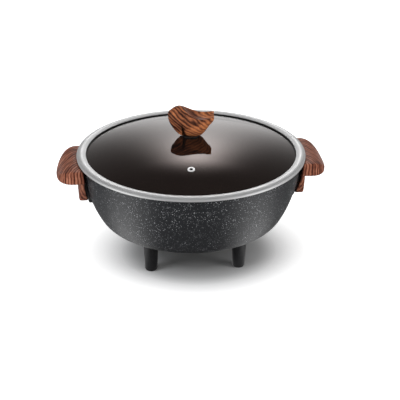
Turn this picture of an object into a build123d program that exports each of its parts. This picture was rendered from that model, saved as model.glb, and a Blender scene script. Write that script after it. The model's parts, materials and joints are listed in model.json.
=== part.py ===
from build123d import *
import math
import os

# Divided electric hot pot: a cast bowl on four round legs, split in two by an S-shaped wall,
# with two ear handles and a domed glass lid that lifts off.
# Millimetres, +Z up. The origin is on the table, under the bowl's axis.
# The handles point along +X and -X, and the plug-in inlet points along +Y, to the rear.

# Driving sizes of the bowl
rim_height = 142.0
rim_radius = 150.0
base_radius = 98.0
bowl_bottom = 44.0
wall = 3.0
floor_thickness = 4.5
recess_depth = 7.0
foot_ring_width = 3.0
rim_round = 1.0
# The outside of the bowl is a chain of tangent arcs. Height and radius of their ends, from the foot ring (0)
# to the rim (1), and the slope at which the first arc leaves the foot ring, where 1 runs straight to the rim.
bowl_outline_shares = [(0.0, 0.0), (0.184, 0.547), (0.408, 0.749), (1.0, 1.0)]
bowl_first_slope_share = 0.0511

# Driving sizes of the dividing wall
divider_thickness = 5.0
divider_swing = 32.0
divider_drop = 12.0
divider_round = 2.0

# Driving sizes of the legs and their pads
leg_inset = 11.0
leg_first_angle = 45.0
leg_top_radius = 10.2
leg_bottom_radius = 8.6
leg_length = 39.0
leg_edge_round = 1.0
leg_boss_radius = 7.0
pad_radius = 7.2
pad_thickness = 1.5
pad_plug_length = 4.0

# Driving sizes of the base cover
cover_thickness = 1.2
cover_wall_height = 8.0
cover_edge_round = 1.0
cover_boss_radius = 6.0

# Driving sizes of the handles
ear_length = 28.0
ear_half_width = 47.0
ear_below_rim = 0.8
ear_droop = 23.2
seat_gap = 4.0
bracket_half_width = 15.0
bracket_corner_round = 6.0
shield_reach_top = 7.6
shield_reach_bottom = 16.4
shield_bottom_half_width = 20.0
shield_top_half_width = 46.5
shield_corner_round = 18.0
# Height of the shield's bottom between the bowl's foot ring (0) and its rim (1), and heights of the bracket,
# its screws and its rivets between the shield's bottom (0) and the ear's top (1)
shield_bottom_share = 0.4184
bracket_bottom_share = -0.089
bracket_top_share = 0.694
handle_screw_shares = (0.125, 0.392)
rivet_share = 0.258
# Reach and drop along the ear's side view: reach from the lid band's edge (0) to the ear's tip (1),
# drop from the ear's top (0) to its lowest point (1)
ear_top_shares = [(0.286, 0.036), (0.60, 0.200), (0.82, 0.460), (0.93, 0.660), (0.985, 0.776), (1.0, 0.875)]
ear_under_shares = [(0.955, 1.0), (0.80, 0.965), (0.45, 0.860), (-0.03, 0.775)]

# Driving sizes of the lid
band_overhang = 5.0
lid_turn = -5.0
band_width = 12.5
band_sheet = 0.7
band_skirt_depth = 5.0
band_skirt_gap = 0.8
band_foot_width = 4.0
glass_rise = 26.0
glass_thickness = 4.0
seal_line = 1.6
seal_back = 0.8
seal_lip = 0.8
# Distance inwards from the band's outer edge and height above the rim, as shares of the band's width
# and height, along the outside of its roll
band_height = 5.5
band_roll_shares = [(0.04, 0.07), (0.0, 0.27), (0.07, 0.62), (0.25, 0.88), (0.56, 1.0), (1.0, 0.73)]

# Driving sizes of the steam vent
vent_circle_radius = 91.0
vent_bore_radius = 2.0
vent_barrel_radius = 3.0
vent_flange_radius = 5.0
vent_flange_thickness = 0.8

# Driving sizes of the knob
knob_length = 61.6
knob_depth = 31.0
knob_height = 41.6
knob_pad_thickness = 1.2
knob_pad_radius = 11.0
knob_crease_width = 5.5
knob_crease_depth = 12.5
knob_insert_radius = 4.5
knob_insert_length = 14.0
# Sections from the blunt end to the thin tip, as shares: place along the length, height of the underside,
# height of the rim, height of the top's middle, half depth at the rim, half depth at the belly
knob_section_shares = [
    (0.000, 0.600, 0.740, 0.760, 0.100, 0.140),
    (0.075, 0.310, 0.845, 0.885, 0.140, 0.260),
    (0.220, 0.040, 0.955, 0.990, 0.170, 0.380),
    (0.360, -0.050, 0.890, 0.900, 0.290, 0.440),
    (0.500, -0.050, 0.768, 0.700, 0.420, 0.480),
    (0.675, -0.030, 0.668, 0.580, 0.490, 0.490),
    (0.800, 0.125, 0.660, 0.575, 0.470, 0.465),
    (0.930, 0.400, 0.692, 0.630, 0.410, 0.410),
    (1.000, 0.600, 0.720, 0.690, 0.350, 0.350)]
knob_belly_share = 0.62
knob_keel_share = 0.62
knob_keel_rise_share = 0.16
# The crease on the knob's flank: where along the length it starts and ends, and how high it climbs
crease_foot_share = 0.365
crease_top_share = 0.300
crease_climb_share = 0.440

# Driving sizes of the heater
spreader_inset = 22.0
spreader_bore = 10.0
spreader_thickness = 2.0
element_inset = 13.0
element_radius = 3.0
terminal_spacing = 32.0
element_bend_radius = 10.0
pin_radius = 2.4
pin_shank_radius = 1.8
pin_length = 24.0
bush_radius = 3.1
bush_length = 14.0
guide_radius = 3.5
guide_bore_radius = 2.6
guide_start = 23.0
guide_end_wall = 2.0

# Driving sizes of the inlet guard
inlet_inset = 11.0
guard_half_width = 25.7
guard_reach = 44.0
guard_bottom = 27.0
guard_wall = 1.4
guard_back = 3.0
guard_flange_half_width = 32.0
guard_flange_thickness = 4.0

# Driving sizes of the screws and rivets
leg_screw_radius = 2.4
leg_screw_head_radius = 4.2
leg_screw_head_height = 3.2
leg_screw_seat = 22.0
cover_screw_radius = 1.9
cover_screw_head_radius = 4.0
cover_screw_head_height = 2.2
screw_bite = 8.0
handle_screw_radius = 2.4
handle_screw_head_radius = 4.2
handle_screw_head_height = 3.0
handle_screw_sink = 1.5
rivet_radius = 2.5
rivet_head_radius = 5.0
rivet_head_thickness = 1.2
rivet_half_spacing = 9.0
knob_screw_radius = 2.4
knob_screw_head_radius = 4.4
knob_screw_head_height = 2.8
knob_washer_radius = 9.0
knob_washer_thickness = 1.2
socket_radius = 1.6
socket_depth = 1.6

# Clearances
fit = 0.15
loose_fit = 0.3
cut_overrun = 20.0

# Heights and radii that follow from the sizes above
lid_outer_radius = rim_radius + band_overhang
floor_underside = bowl_bottom + recess_depth
floor_top = floor_underside + floor_thickness
recess_radius = base_radius - foot_ring_width
leg_circle_radius = recess_radius - leg_inset
spreader_radius = recess_radius - spreader_inset
element_ring_radius = spreader_radius - element_inset
inlet_y = recess_radius - inlet_inset
cover_bottom = pad_thickness + leg_length
cover_top = cover_bottom + cover_thickness
cover_radius = recess_radius - fit
spreader_bottom = floor_underside - spreader_thickness
element_height = spreader_bottom - element_radius
guide_height = spreader_bottom - guide_radius
guard_top = floor_underside - loose_fit
ear_tip = lid_outer_radius + ear_length
ear_top = rim_height - ear_below_rim
shield_bottom = bowl_bottom + (rim_height - bowl_bottom) * shield_bottom_share
shield_height = ear_top - shield_bottom
bracket_bottom = shield_bottom + shield_height * bracket_bottom_share
bracket_top = shield_bottom + shield_height * bracket_top_share
handle_screw_heights = [shield_bottom + shield_height * share for share in handle_screw_shares]
rivet_height = shield_bottom + shield_height * rivet_share
band_inner_radius = lid_outer_radius - band_width
lip_underside = rim_height + band_height * band_roll_shares[-1][1] - band_sheet
glass_edge_height = lip_underside - seal_line
glass_top = glass_edge_height + glass_rise
dome_radius = (glass_rise**2 + band_inner_radius**2) / (2 * glass_rise)
dome_centre = glass_top - dome_radius
knob_base = glass_top + knob_pad_thickness
dome_under = glass_top - glass_thickness


def outline_arcs(offset):
    """The arcs along the outside of the bowl, moved outwards by offset: centre, radius and the angles
    of their start, middle and end."""
    places = []
    for height_share, radius_share in bowl_outline_shares:
        radius = base_radius + (rim_radius - base_radius) * radius_share
        places.append(Vector(radius, bowl_bottom + (rim_height - bowl_bottom) * height_share))
    slope = math.atan2(bowl_first_slope_share * (rim_height - bowl_bottom), rim_radius - base_radius)
    arcs = []
    for start, end in zip(places, places[1:]):
        chord = end - start
        half_turn = math.atan2(chord.Y, chord.X) - slope
        radius = chord.length / (2 * math.sin(half_turn))
        centre = start + Vector(-math.sin(slope), math.cos(slope)) * radius
        arcs.append((centre, radius + offset, (slope, slope + half_turn, slope + 2 * half_turn)))
        slope = slope + 2 * half_turn
    return arcs


def on_arc(centre, radius, angle):
    """The point of an arc at an angle measured from straight down."""
    return centre.X + radius * math.sin(angle), centre.Y - radius * math.cos(angle)


def wall_radius(height, offset):
    """The radius of the bowl's upper wall at a height, moved outwards by offset."""
    centre, radius, angles = outline_arcs(offset)[-1]
    return centre.X + math.sqrt(radius**2 - (height - centre.Y)**2)


def shield_radius(height):
    """The radius of the outside of a handle's shield at a height."""
    top = ear_top - ear_droop / 2
    bottom_radius = wall_radius(shield_bottom, 0) + shield_reach_bottom
    top_radius = wall_radius(top, 0) + shield_reach_top
    return bottom_radius + (top_radius - bottom_radius) * (height - shield_bottom) / (top - shield_bottom)


def spun(face):
    """Turn a face drawn as (radius, height) once round the pot's axis."""
    return revolve(Plane.XZ * face, Axis.Z)


def block(low, high):
    """A box from its lowest to its highest corner."""
    size = Vector(*high) - Vector(*low)
    middle = (Vector(*high) + Vector(*low)) / 2
    return Pos(middle.X, middle.Y, middle.Z) * Box(size.X, size.Y, size.Z)


def rod(radius, low, high, x=0, y=0):
    """An upright round rod between two heights."""
    return Pos(x, y, low) * Cylinder(radius, high - low, align=(Align.CENTER, Align.CENTER, Align.MIN))


def rod_along(radius, start, end, direction):
    """A round rod lying along X or Y, between two places on that axis."""
    plane = Plane.YZ if direction == "x" else Plane(origin=(0, 0, 0), x_dir=(-1, 0, 0), z_dir=(0, 1, 0))
    return plane.offset(start) * Cylinder(radius, end - start, align=(Align.CENTER, Align.CENTER, Align.MIN))


def bowl_body(offset, low=None, high=None):
    """The solid inside the bowl's outline, moved outwards by offset, above the height low.
    It ends at the rim, or its last arc goes on to the height high."""
    arcs = outline_arcs(offset)
    if high is not None:
        centre, radius, angles = arcs[-1]
        last_angle = math.acos((centre.Y - high) / radius)
        arcs[-1] = (centre, radius, (angles[0], (angles[0] + last_angle) / 2, last_angle))
    edges = Curve()
    for centre, radius, angles in arcs:
        edges += ThreePointArc(*[on_arc(centre, radius, angle) for angle in angles])
    start = edges.vertices().sort_by(Axis.Y)[0]
    end = edges.vertices().sort_by(Axis.Y)[-1]
    edges += Polyline((end.X, end.Y), (0, end.Y), (0, start.Y), (start.X, start.Y))
    solid = spun(make_face(edges))
    if low is None:
        return solid
    reach = 2 * rim_radius
    return solid - block((-reach, -reach, 0), (reach, reach, low))


def seat_body():
    """The solid on which the handles sit, a little outside the bowl's wall."""
    return bowl_body(seat_gap, high=rim_height + wall)


def leg_places():
    """The four leg positions, from the front left one round to the rear left one."""
    names = ["rear_right", "rear_left", "front_left", "front_right"]
    for step, name in enumerate(names):
        angle = math.radians(leg_first_angle + step * 360 / len(names))
        yield name, leg_circle_radius * math.cos(angle), leg_circle_radius * math.sin(angle)


def inlet_notch():
    """The gap in the foot ring and in the base cover that the inlet guard fills."""
    half = guard_half_width + loose_fit
    return block((-half, inlet_y, 0), (half, rim_radius, floor_underside))


def rivet_axes():
    """Where the rivets of the +X handle bracket lie across the pot."""
    return [(-rivet_half_spacing, rivet_height), (rivet_half_spacing, rivet_height)]


def mirrored_pair(shape):
    """The same solid on the +X side and, turned half round, on the -X side."""
    return {"right": shape, "left": Rot(0, 0, 180) * shape}


def both_sides(shapes):
    """A group of solids on the +X side, and the same ones on the -X side."""
    return Compound(children=shapes + [Rot(0, 0, 180) * shape for shape in shapes])


def make_bowl():
    """The cast bowl, with its foot ring, screw bosses, rivet holes and the notch for the inlet."""
    bowl = bowl_body(0) - bowl_body(-wall, low=floor_top, high=rim_height + wall)
    bowl = bowl - rod(recess_radius, bowl_bottom - cut_overrun, floor_underside)
    for name, x, y in leg_places():
        boss = rod(leg_boss_radius, cover_top, floor_underside, x, y)
        bowl = bowl + boss
        bowl = bowl - rod(leg_screw_radius + fit, cover_top, floor_underside - fit, x, y)
    bowl = bowl + rod(cover_boss_radius, cover_top, floor_underside)
    bowl = bowl - rod(cover_screw_radius + fit, cover_top, floor_underside - fit)
    bowl = bowl - inlet_notch()
    for y, z in rivet_axes():
        hole = Pos(0, y, z) * rod_along(rivet_radius + fit, 0, rim_radius, "x")
        for side in mirrored_pair(hole).values():
            bowl = bowl - side
    rim_edges = bowl.edges().filter_by(GeomType.CIRCLE).group_by(Axis.Z)[-1]
    return fillet(rim_edges, rim_round)


def make_divider():
    """The S-shaped wall, as tall as the bowl less its drop, trimmed to the inside of the bowl."""
    half_chord = rim_radius / 2
    arc_radius = (half_chord**2 + divider_swing**2) / (2 * divider_swing)
    centre = Vector(divider_swing - arc_radius, -half_chord)
    end_angle = math.atan2(half_chord, arc_radius - divider_swing)

    def place(radius, angle):
        return centre.X + radius * math.cos(angle), centre.Y + radius * math.sin(angle)

    outer = arc_radius + divider_thickness / 2
    inner = arc_radius - divider_thickness / 2
    lobe = ThreePointArc(place(outer, -end_angle), place(outer, 0), place(outer, end_angle))
    lobe += Line(place(outer, end_angle), place(inner, end_angle))
    lobe += ThreePointArc(place(inner, end_angle), place(inner, 0), place(inner, -end_angle))
    lobe += Line(place(inner, -end_angle), place(outer, -end_angle))
    face = make_face(lobe)
    plan = face + Rot(0, 0, 180) * face
    height = rim_height - divider_drop - floor_top
    curved_wall = extrude(Pos(0, 0, floor_top) * plan, height)
    top_edges = curved_wall.faces().sort_by(Axis.Z)[-1].edges()
    curved_wall = fillet(top_edges, divider_round)
    return curved_wall & bowl_body(-wall, low=floor_top)


def make_leg():
    """One tapered leg at the origin, bored from below for its screw."""
    foot = pad_thickness
    sides = Polyline(
        (0, foot), (leg_bottom_radius, foot), (leg_top_radius, cover_bottom), (0, cover_bottom), close=True)
    leg = spun(make_face(sides))
    leg = fillet(leg.edges().group_by(Axis.Z)[0], leg_edge_round)
    leg = leg - rod(leg_screw_head_radius + loose_fit, foot - cut_overrun, leg_screw_seat)
    return leg - rod(leg_screw_radius + loose_fit, 0, cover_bottom + cut_overrun)


def make_pad():
    """One rubber pad at the origin, with the plug that holds it in the leg's bore."""
    pad = rod(pad_radius, 0, pad_thickness)
    pad = fillet(pad.edges().group_by(Axis.Z)[0], pad_thickness / 3)
    return pad + rod(leg_screw_head_radius + fit, pad_thickness, pad_thickness + pad_plug_length)


def pan_screw(radius, head_radius, head_height, seat, tip):
    """An upright screw whose head lies under the height seat, with a round drive socket."""
    head = rod(head_radius, seat - head_height, seat)
    head = fillet(head.edges().group_by(Axis.Z)[0], head_height / 3)
    head = head - rod(socket_radius, seat - head_height - cut_overrun, seat - head_height + socket_depth)
    return head + rod(radius, seat, tip)


def make_leg_screws():
    """The four long screws that hold the legs and the base cover to the bowl."""
    tip = floor_underside - 2 * fit
    screw = pan_screw(leg_screw_radius, leg_screw_head_radius, leg_screw_head_height, leg_screw_seat, tip)
    return [Pos(x, y, 0) * screw for name, x, y in leg_places()]


def make_cover():
    """The pressed steel pan that closes the heater space."""
    cover = rod(cover_radius, cover_bottom, cover_bottom + cover_wall_height)
    cover = fillet(cover.edges().group_by(Axis.Z)[0], cover_edge_round)
    inside = rod(cover_radius - cover_thickness, cover_top, cover_bottom + cover_wall_height + cut_overrun)
    cover = cover - inside - inlet_notch()
    for name, x, y in leg_places():
        cover = cover - rod(leg_screw_radius + loose_fit, 0, cover_top + fit, x, y)
    return cover - rod(cover_screw_radius + loose_fit, 0, cover_top + fit)


def make_spreader():
    """The aluminium plate between the element and the bowl's floor."""
    plate = rod(spreader_radius, spreader_bottom, floor_underside)
    return plate - rod(spreader_bore, 0, floor_underside + fit)


def make_element():
    """The sheathed element: nearly a full ring, whose two ends turn out towards the inlet."""
    half = terminal_spacing / 2
    bend_centre_x = half + element_bend_radius
    reach = element_ring_radius + element_bend_radius
    bend_centre_y = math.sqrt(reach**2 - bend_centre_x**2)
    join_share = element_ring_radius / reach
    join = Vector(bend_centre_x * join_share, bend_centre_y * join_share)
    turn = math.atan2(bend_centre_y, bend_centre_x)
    half_turn = (math.pi + turn) / 2 + math.pi / 2
    middle = Vector(
        bend_centre_x + element_bend_radius * math.cos(half_turn),
        bend_centre_y + element_bend_radius * math.sin(half_turn))
    end_y = inlet_y - guard_flange_thickness - fit
    path = Line((half, end_y), (half, bend_centre_y))
    path += ThreePointArc((half, bend_centre_y), (middle.X, middle.Y), (join.X, join.Y))
    path += ThreePointArc((join.X, join.Y), (0, -element_ring_radius), (-join.X, join.Y))
    path += ThreePointArc((-join.X, join.Y), (-middle.X, middle.Y), (-half, bend_centre_y))
    path += Line((-half, bend_centre_y), (-half, end_y))
    path = Pos(0, 0, element_height) * path
    start = Plane(origin=(half, end_y, element_height), x_dir=(1, 0, 0), z_dir=(0, -1, 0))
    return sweep(start * Circle(element_radius), path=path)


def terminal_sides():
    """The two sideways places of the terminals."""
    return [-terminal_spacing / 2, terminal_spacing / 2]


def make_bushes():
    """The two ceramic bushes that carry the pins through the guard."""
    start = inlet_y - guard_flange_thickness
    bushes = []
    for x in terminal_sides():
        bush = rod_along(bush_radius, start, start + bush_length, "y")
        bush = bush - rod_along(pin_shank_radius + fit, start - cut_overrun, start + 2 * bush_length, "y")
        bushes.append(Pos(x, 0, element_height) * bush)
    return bushes


def make_pins():
    """The two plug pins, each with a thin shank through its bush."""
    start = inlet_y - guard_flange_thickness
    shoulder = start + bush_length
    pins = []
    for x in terminal_sides():
        pin = rod_along(pin_radius, shoulder, shoulder + pin_length, "y")
        nose = Pos(0, shoulder + pin_length, 0) * Sphere(pin_radius)
        pin = pin + nose + rod_along(pin_shank_radius, start, shoulder, "y")
        pins.append(Pos(x, 0, element_height) * pin)
    return pins


def make_guide():
    """The blind steel tube under the spreader that takes the plug's temperature probe."""
    mouth = inlet_y + guard_back + guard_flange_thickness
    tube = rod_along(guide_radius, guide_start, mouth, "y")
    tube = tube - rod_along(guide_bore_radius, guide_start + guide_end_wall, mouth + cut_overrun, "y")
    return Pos(0, 0, guide_height) * tube


def make_guard():
    """The hood round the plug pins, held by a flange trapped between the cover and the bowl."""
    front = inlet_y + guard_reach
    flange_y = inlet_y - guard_flange_thickness
    back_y = inlet_y + guard_back
    body = block((-guard_half_width, inlet_y, guard_bottom), (guard_half_width, front, guard_top))
    body = fillet(body.edges().filter_by(Axis.Y), guard_wall)
    inner_half = guard_half_width - guard_wall
    body = body - block(
        (-inner_half, back_y, guard_bottom + guard_wall), (inner_half, front + cut_overrun, guard_top - guard_wall))
    flange = block(
        (-guard_flange_half_width, flange_y, cover_top + fit), (guard_flange_half_width, inlet_y, guard_top))
    guard = body + flange
    for x in terminal_sides():
        hole = rod_along(bush_radius + fit, flange_y - cut_overrun, back_y + fit, "y")
        guard = guard - Pos(x, 0, element_height) * hole
    hole = rod_along(guide_radius + fit, flange_y - cut_overrun, back_y + fit, "y")
    return guard - Pos(0, 0, guide_height) * hole


def ear_section():
    """The ear's side view, drawn as (x, z)."""
    def place(shares):
        return [(lid_outer_radius + ear_length * reach, ear_top - ear_droop * drop) for reach, drop in shares]

    top = place(ear_top_shares)
    under = place(ear_under_shares)
    inner_x = rim_radius - ear_half_width
    shoulder = (wall_radius(ear_top, seat_gap), ear_top)
    edges = Polyline((inner_x, ear_top), shoulder)
    edges += Spline(shoulder, *top, tangents=[(1, 0), (0, -1)])
    edges += Spline(top[-1], *under)
    edges += Polyline(under[-1], (inner_x, under[-1][1]), (inner_x, ear_top))
    return make_face(edges)


def make_handle():
    """The +X handle: a drooping ear, and a shield below it that follows the bowl down."""
    ear = extrude(Plane.XZ * ear_section(), ear_half_width, both=True)
    inner_x = rim_radius - ear_half_width
    plan = Pos(lid_outer_radius, 0) * Ellipse(ear_length, ear_half_width)
    plan += Pos((inner_x + lid_outer_radius) / 2, 0) * Rectangle(lid_outer_radius - inner_x, 2 * ear_half_width)
    ear = ear & extrude(plan, ear_top + cut_overrun)

    top = ear_top - ear_droop / 2
    outer = Polyline(
        (0, shield_bottom), (shield_radius(shield_bottom), shield_bottom), (shield_radius(top), top), (0, top),
        close=True)
    shield = spun(make_face(outer))
    front = Polyline(
        (-shield_bottom_half_width, shield_bottom), (shield_bottom_half_width, shield_bottom),
        (shield_top_half_width, top), (-shield_top_half_width, top), close=True)
    front_face = make_face(front)
    low_corners = front_face.vertices().group_by(Axis.Y)[0]
    front_face = fillet(low_corners, shield_corner_round)
    shield = shield & extrude(Plane.YZ * front_face, lid_outer_radius + ear_length)

    return ear + shield - seat_body()


def handle_screw_seat(height):
    """How far out the head of the handle screw at a height is seated, sunk into the shield."""
    return shield_radius(height) - handle_screw_sink - handle_screw_head_height


def drill_handle(handle):
    """Cut the counterbored holes of the handle screws."""
    for z in handle_screw_heights:
        seat = handle_screw_seat(z)
        bore = rod_along(handle_screw_head_radius + loose_fit, seat, ear_tip, "x")
        hole = rod_along(handle_screw_radius + loose_fit, base_radius, seat + fit, "x")
        handle = handle - Pos(0, 0, z) * bore - Pos(0, 0, z) * hole
    return handle


def make_handle_screws():
    """The two screws of the +X handle, from the shield into the bracket."""
    inside = bowl_body(fit)
    screws = []
    for z in handle_screw_heights:
        seat = handle_screw_seat(z)
        head = rod_along(handle_screw_head_radius, seat, seat + handle_screw_head_height, "x")
        head = fillet(head.edges().group_by(Axis.X)[-1], handle_screw_head_height / 3)
        socket = rod_along(
            socket_radius, seat + handle_screw_head_height - socket_depth, ear_tip, "x")
        shank = rod_along(handle_screw_radius, base_radius, seat, "x")
        screw = Pos(0, 0, z) * (head - socket + shank)
        screws.append((screw - inside).solids().sort_by(Axis.X)[-1])
    return screws


def make_bracket():
    """The cast pad of the +X handle, between the bowl's wall and the shield."""
    plate = seat_body() - bowl_body(fit)
    outline = Pos(0, (bracket_bottom + bracket_top) / 2) * RectangleRounded(
        2 * bracket_half_width, bracket_top - bracket_bottom, bracket_corner_round)
    plate = plate & extrude(Plane.YZ * outline, lid_outer_radius)
    for z in handle_screw_heights:
        plate = plate - Pos(0, 0, z) * rod_along(handle_screw_radius + fit, 0, ear_tip, "x")
    for y, z in rivet_axes():
        plate = plate - Pos(0, y, z) * rod_along(rivet_radius + fit, 0, ear_tip, "x")
    return plate


def make_rivets():
    """The two rivets of the +X bracket, with low heads inside the bowl."""
    through = seat_body() - bowl_body(-wall)
    lining = bowl_body(-wall) - bowl_body(-wall - rivet_head_thickness)
    rivets = []
    for y, z in rivet_axes():
        shank = Pos(0, y, z) * rod_along(rivet_radius, 0, ear_tip, "x") & through
        head = Pos(0, y, z) * rod_along(rivet_head_radius, 0, ear_tip, "x") & lining
        rivets.append(shank + head)
    return rivets


def sag(radius):
    """How far the underside of the dome drops from its middle out to a radius."""
    return radius**2 / (2 * (dome_radius - glass_thickness))


def dome_face(thickness):
    """Half of the glass dome's section: a shell between two arcs about one centre."""
    outer = dome_radius
    inner = dome_radius - thickness
    tilt = math.asin(glass_edge_radius() / outer)

    def on_dome(radius, angle):
        return radius * math.sin(angle), dome_centre + radius * math.cos(angle)

    edges = ThreePointArc(on_dome(outer, 0), on_dome(outer, tilt / 2), on_dome(outer, tilt))
    edges += Line(on_dome(outer, tilt), on_dome(inner, tilt))
    edges += ThreePointArc(on_dome(inner, tilt), on_dome(inner, tilt / 2), on_dome(inner, 0))
    edges += Line(on_dome(inner, 0), on_dome(outer, 0))
    return make_face(edges)


def vent_place():
    """Where the vent sits: upright on the dome, in front of the knob."""
    lean = math.asin(vent_circle_radius / dome_radius)
    height = dome_centre + dome_radius * math.cos(lean)
    return Rot(0, 0, lid_turn) * Pos(0, -vent_circle_radius, height) * Rot(math.degrees(lean), 0, 0)


def make_glass():
    """The tinted glass dome, drilled for the knob screw and the vent."""
    glass = spun(dome_face(glass_thickness))
    glass = glass - rod(knob_screw_radius + 2 * loose_fit, rim_height, glass_top + cut_overrun)
    hole = rod(vent_barrel_radius + fit, -cut_overrun, cut_overrun)
    return glass - vent_place() * hole


def skirt_radius():
    """The outside of the band's skirt, which hangs inside the narrowest place of the bowl's mouth."""
    mouth = min(wall_radius(height, -wall) for height in (rim_height, rim_height - band_skirt_depth))
    return mouth - band_skirt_gap


def glass_edge_radius():
    """The glass's edge, held in the seal inside the band's skirt."""
    return skirt_radius() - band_sheet - fit - seal_back


def band_face():
    """The band's section: a steel sheet rolled over the rim, with a skirt and a foot that carry the glass."""
    def roll(depth):
        points = []
        for width_share, height_share in band_roll_shares:
            points.append((
                lid_outer_radius - depth - (band_width - depth) * width_share,
                rim_height + (band_height - depth) * height_share))
        return points

    outer = roll(0)
    inner = roll(band_sheet)[1:]
    inner[-1] = (outer[-1][0], lip_underside)
    seat = rim_height + band_sheet
    skirt = skirt_radius()
    foot = rim_height - band_skirt_depth
    foot_end = skirt - band_foot_width
    edges = Polyline(
        outer[0], (outer[0][0] - band_sheet, outer[0][1]), (rim_radius, rim_height), (skirt, rim_height),
        (skirt, foot), (foot_end, foot), (foot_end, foot + band_sheet), (skirt - band_sheet, foot + band_sheet),
        (skirt - band_sheet, seat), (rim_radius, seat), inner[0])
    edges += Spline(*inner)
    edges += Line(inner[-1], outer[-1])
    edges += Spline(*outer)
    return make_face(edges)


def seal_face():
    """The seal's section: it wraps the glass's edge between the band's foot and its top lip."""
    inner = band_inner_radius - seal_lip
    outer = skirt_radius() - band_sheet - fit
    low = rim_height - band_skirt_depth + band_sheet
    strip = Polyline(
        (inner, low), (outer, low), (outer, lip_underside), (band_inner_radius, lip_underside),
        (inner, lip_underside - seal_lip), close=True)
    return make_face(strip) - dome_face(glass_thickness)


def make_band():
    """The brushed steel band round the glass."""
    return spun(band_face())


def make_seal():
    """The silicone seal round the glass's edge."""
    return spun(seal_face())


def make_vent():
    """The steel eyelet, with a flange above and below the glass."""
    upper = rod(vent_flange_radius, 0, vent_flange_thickness)
    upper = fillet(upper.edges().group_by(Axis.Z)[-1], vent_flange_thickness / 2)
    under = -glass_thickness - sag(vent_flange_radius)
    lower = rod(vent_flange_radius, under - vent_flange_thickness, under)
    eyelet = rod(vent_barrel_radius, under, 0) + upper + lower
    eyelet = eyelet - rod(vent_bore_radius, -cut_overrun, cut_overrun)
    return vent_place() * eyelet


def knob_section(shares):
    """One closed section of the knob, across its length."""
    place, under, rim, top, rim_depth, belly_depth = shares
    low = knob_base + knob_height * under
    high = knob_base + knob_height * rim
    crown = knob_base + knob_height * top
    belly_height = low + (high - low) * knob_belly_share
    keel_height = low + (high - low) * knob_keel_rise_share
    rim_y = knob_depth * rim_depth
    belly_y = knob_depth * belly_depth
    keel_y = belly_y * knob_keel_share
    edges = ThreePointArc((-rim_y, high), (0, crown), (rim_y, high))
    edges += Spline(
        (rim_y, high), (belly_y, belly_height), (keel_y, keel_height), (0, low),
        (-keel_y, keel_height), (-belly_y, belly_height), (-rim_y, high))
    x = knob_length * (place - 1 / 2)
    return Plane.YZ.offset(x) * make_face(edges)


def make_knob():
    """The knob: a pebble with a high blunt end and a thin tip, hollowed on top, creased on its flanks."""
    knob = loft([knob_section(shares) for shares in knob_section_shares])
    reach = 2 * knob_length
    knob = knob - block((-reach, -reach, 0), (reach, reach, knob_base))
    foot_x = knob_length * (crease_foot_share - 1 / 2)
    top_x = knob_length * (crease_top_share - 1 / 2)
    crease = Polyline(
        (foot_x - knob_crease_width / 2, knob_base - knob_crease_width),
        (foot_x + knob_crease_width / 2, knob_base - knob_crease_width),
        (top_x, knob_base + knob_height * crease_climb_share), close=True)
    inner_y = knob_depth / 2 - knob_crease_depth
    for way in (-1, 1):
        plane = Plane(origin=(0, way * inner_y, 0), x_dir=(1, 0, 0), z_dir=(0, -1, 0))
        knob = knob - extrude(plane * make_face(crease), -way * knob_depth)
    knob = knob - rod(knob_insert_radius + fit, 0, knob_base + knob_insert_length + fit)
    return Rot(0, 0, lid_turn) * knob


def make_insert():
    """The threaded brass insert in the knob's foot."""
    insert = rod(knob_insert_radius, knob_base, knob_base + knob_insert_length)
    return insert - rod(knob_screw_radius + fit, 0, knob_base + knob_insert_length - knob_screw_radius)


def ring_plate(radius, bore, low, high):
    """A flat washer between two heights."""
    return rod(radius, low, high) - rod(bore, low - cut_overrun, high + cut_overrun)


parts = {}
parts["pot_bowl"] = make_bowl()
parts["divider_wall"] = make_divider()
for name, x, y in leg_places():
    parts[f"leg_{name}"] = Pos(x, y, 0) * make_leg()
    parts[f"foot_pad_{name}"] = Pos(x, y, 0) * make_pad()
parts["leg_screws"] = Compound(children=make_leg_screws())
parts["base_cover"] = make_cover()
parts["base_cover_screw"] = pan_screw(
    cover_screw_radius, cover_screw_head_radius, cover_screw_head_height, cover_bottom, cover_bottom + screw_bite)
parts["heat_spreader"] = make_spreader()
parts["heating_element"] = make_element()
parts["terminal_bushes"] = Compound(children=make_bushes())
parts["terminal_pins"] = Compound(children=make_pins())
parts["probe_guide"] = make_guide()
parts["inlet_guard"] = make_guard()
for side, shape in mirrored_pair(drill_handle(make_handle())).items():
    parts[f"handle_{side}"] = shape
for side, shape in mirrored_pair(make_bracket()).items():
    parts[f"handle_bracket_{side}"] = shape
parts["handle_screws"] = both_sides(make_handle_screws())
parts["bracket_rivets"] = both_sides(make_rivets())
parts["lid_glass"] = make_glass()
parts["lid_band"] = make_band()
parts["lid_seal"] = make_seal()
parts["vent_eyelet"] = make_vent()
screw_bore = knob_screw_radius + loose_fit
upper_pad = ring_plate(knob_pad_radius, screw_bore, glass_top, knob_base)
lower_pad_top = dome_under - sag(knob_washer_radius)
lower_pad_bottom = lower_pad_top - knob_pad_thickness
washer_bottom = lower_pad_bottom - knob_washer_thickness
parts["knob_pad"] = upper_pad
parts["knob_lower_pad"] = ring_plate(knob_washer_radius, screw_bore, lower_pad_bottom, lower_pad_top)
parts["knob_washer"] = ring_plate(knob_washer_radius, screw_bore, washer_bottom, lower_pad_bottom)
parts["knob_screw"] = pan_screw(
    knob_screw_radius, knob_screw_head_radius, knob_screw_head_height, washer_bottom,
    knob_base + knob_insert_length - 2 * knob_screw_radius)
parts["lid_knob"] = make_knob()
parts["knob_insert"] = make_insert()

os.makedirs("parts", exist_ok=True)
for name, shape in parts.items():
    export_step(shape, f"parts/{name}.step")
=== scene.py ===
import json
import math
import bpy
from mathutils import Matrix, Vector


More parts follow.
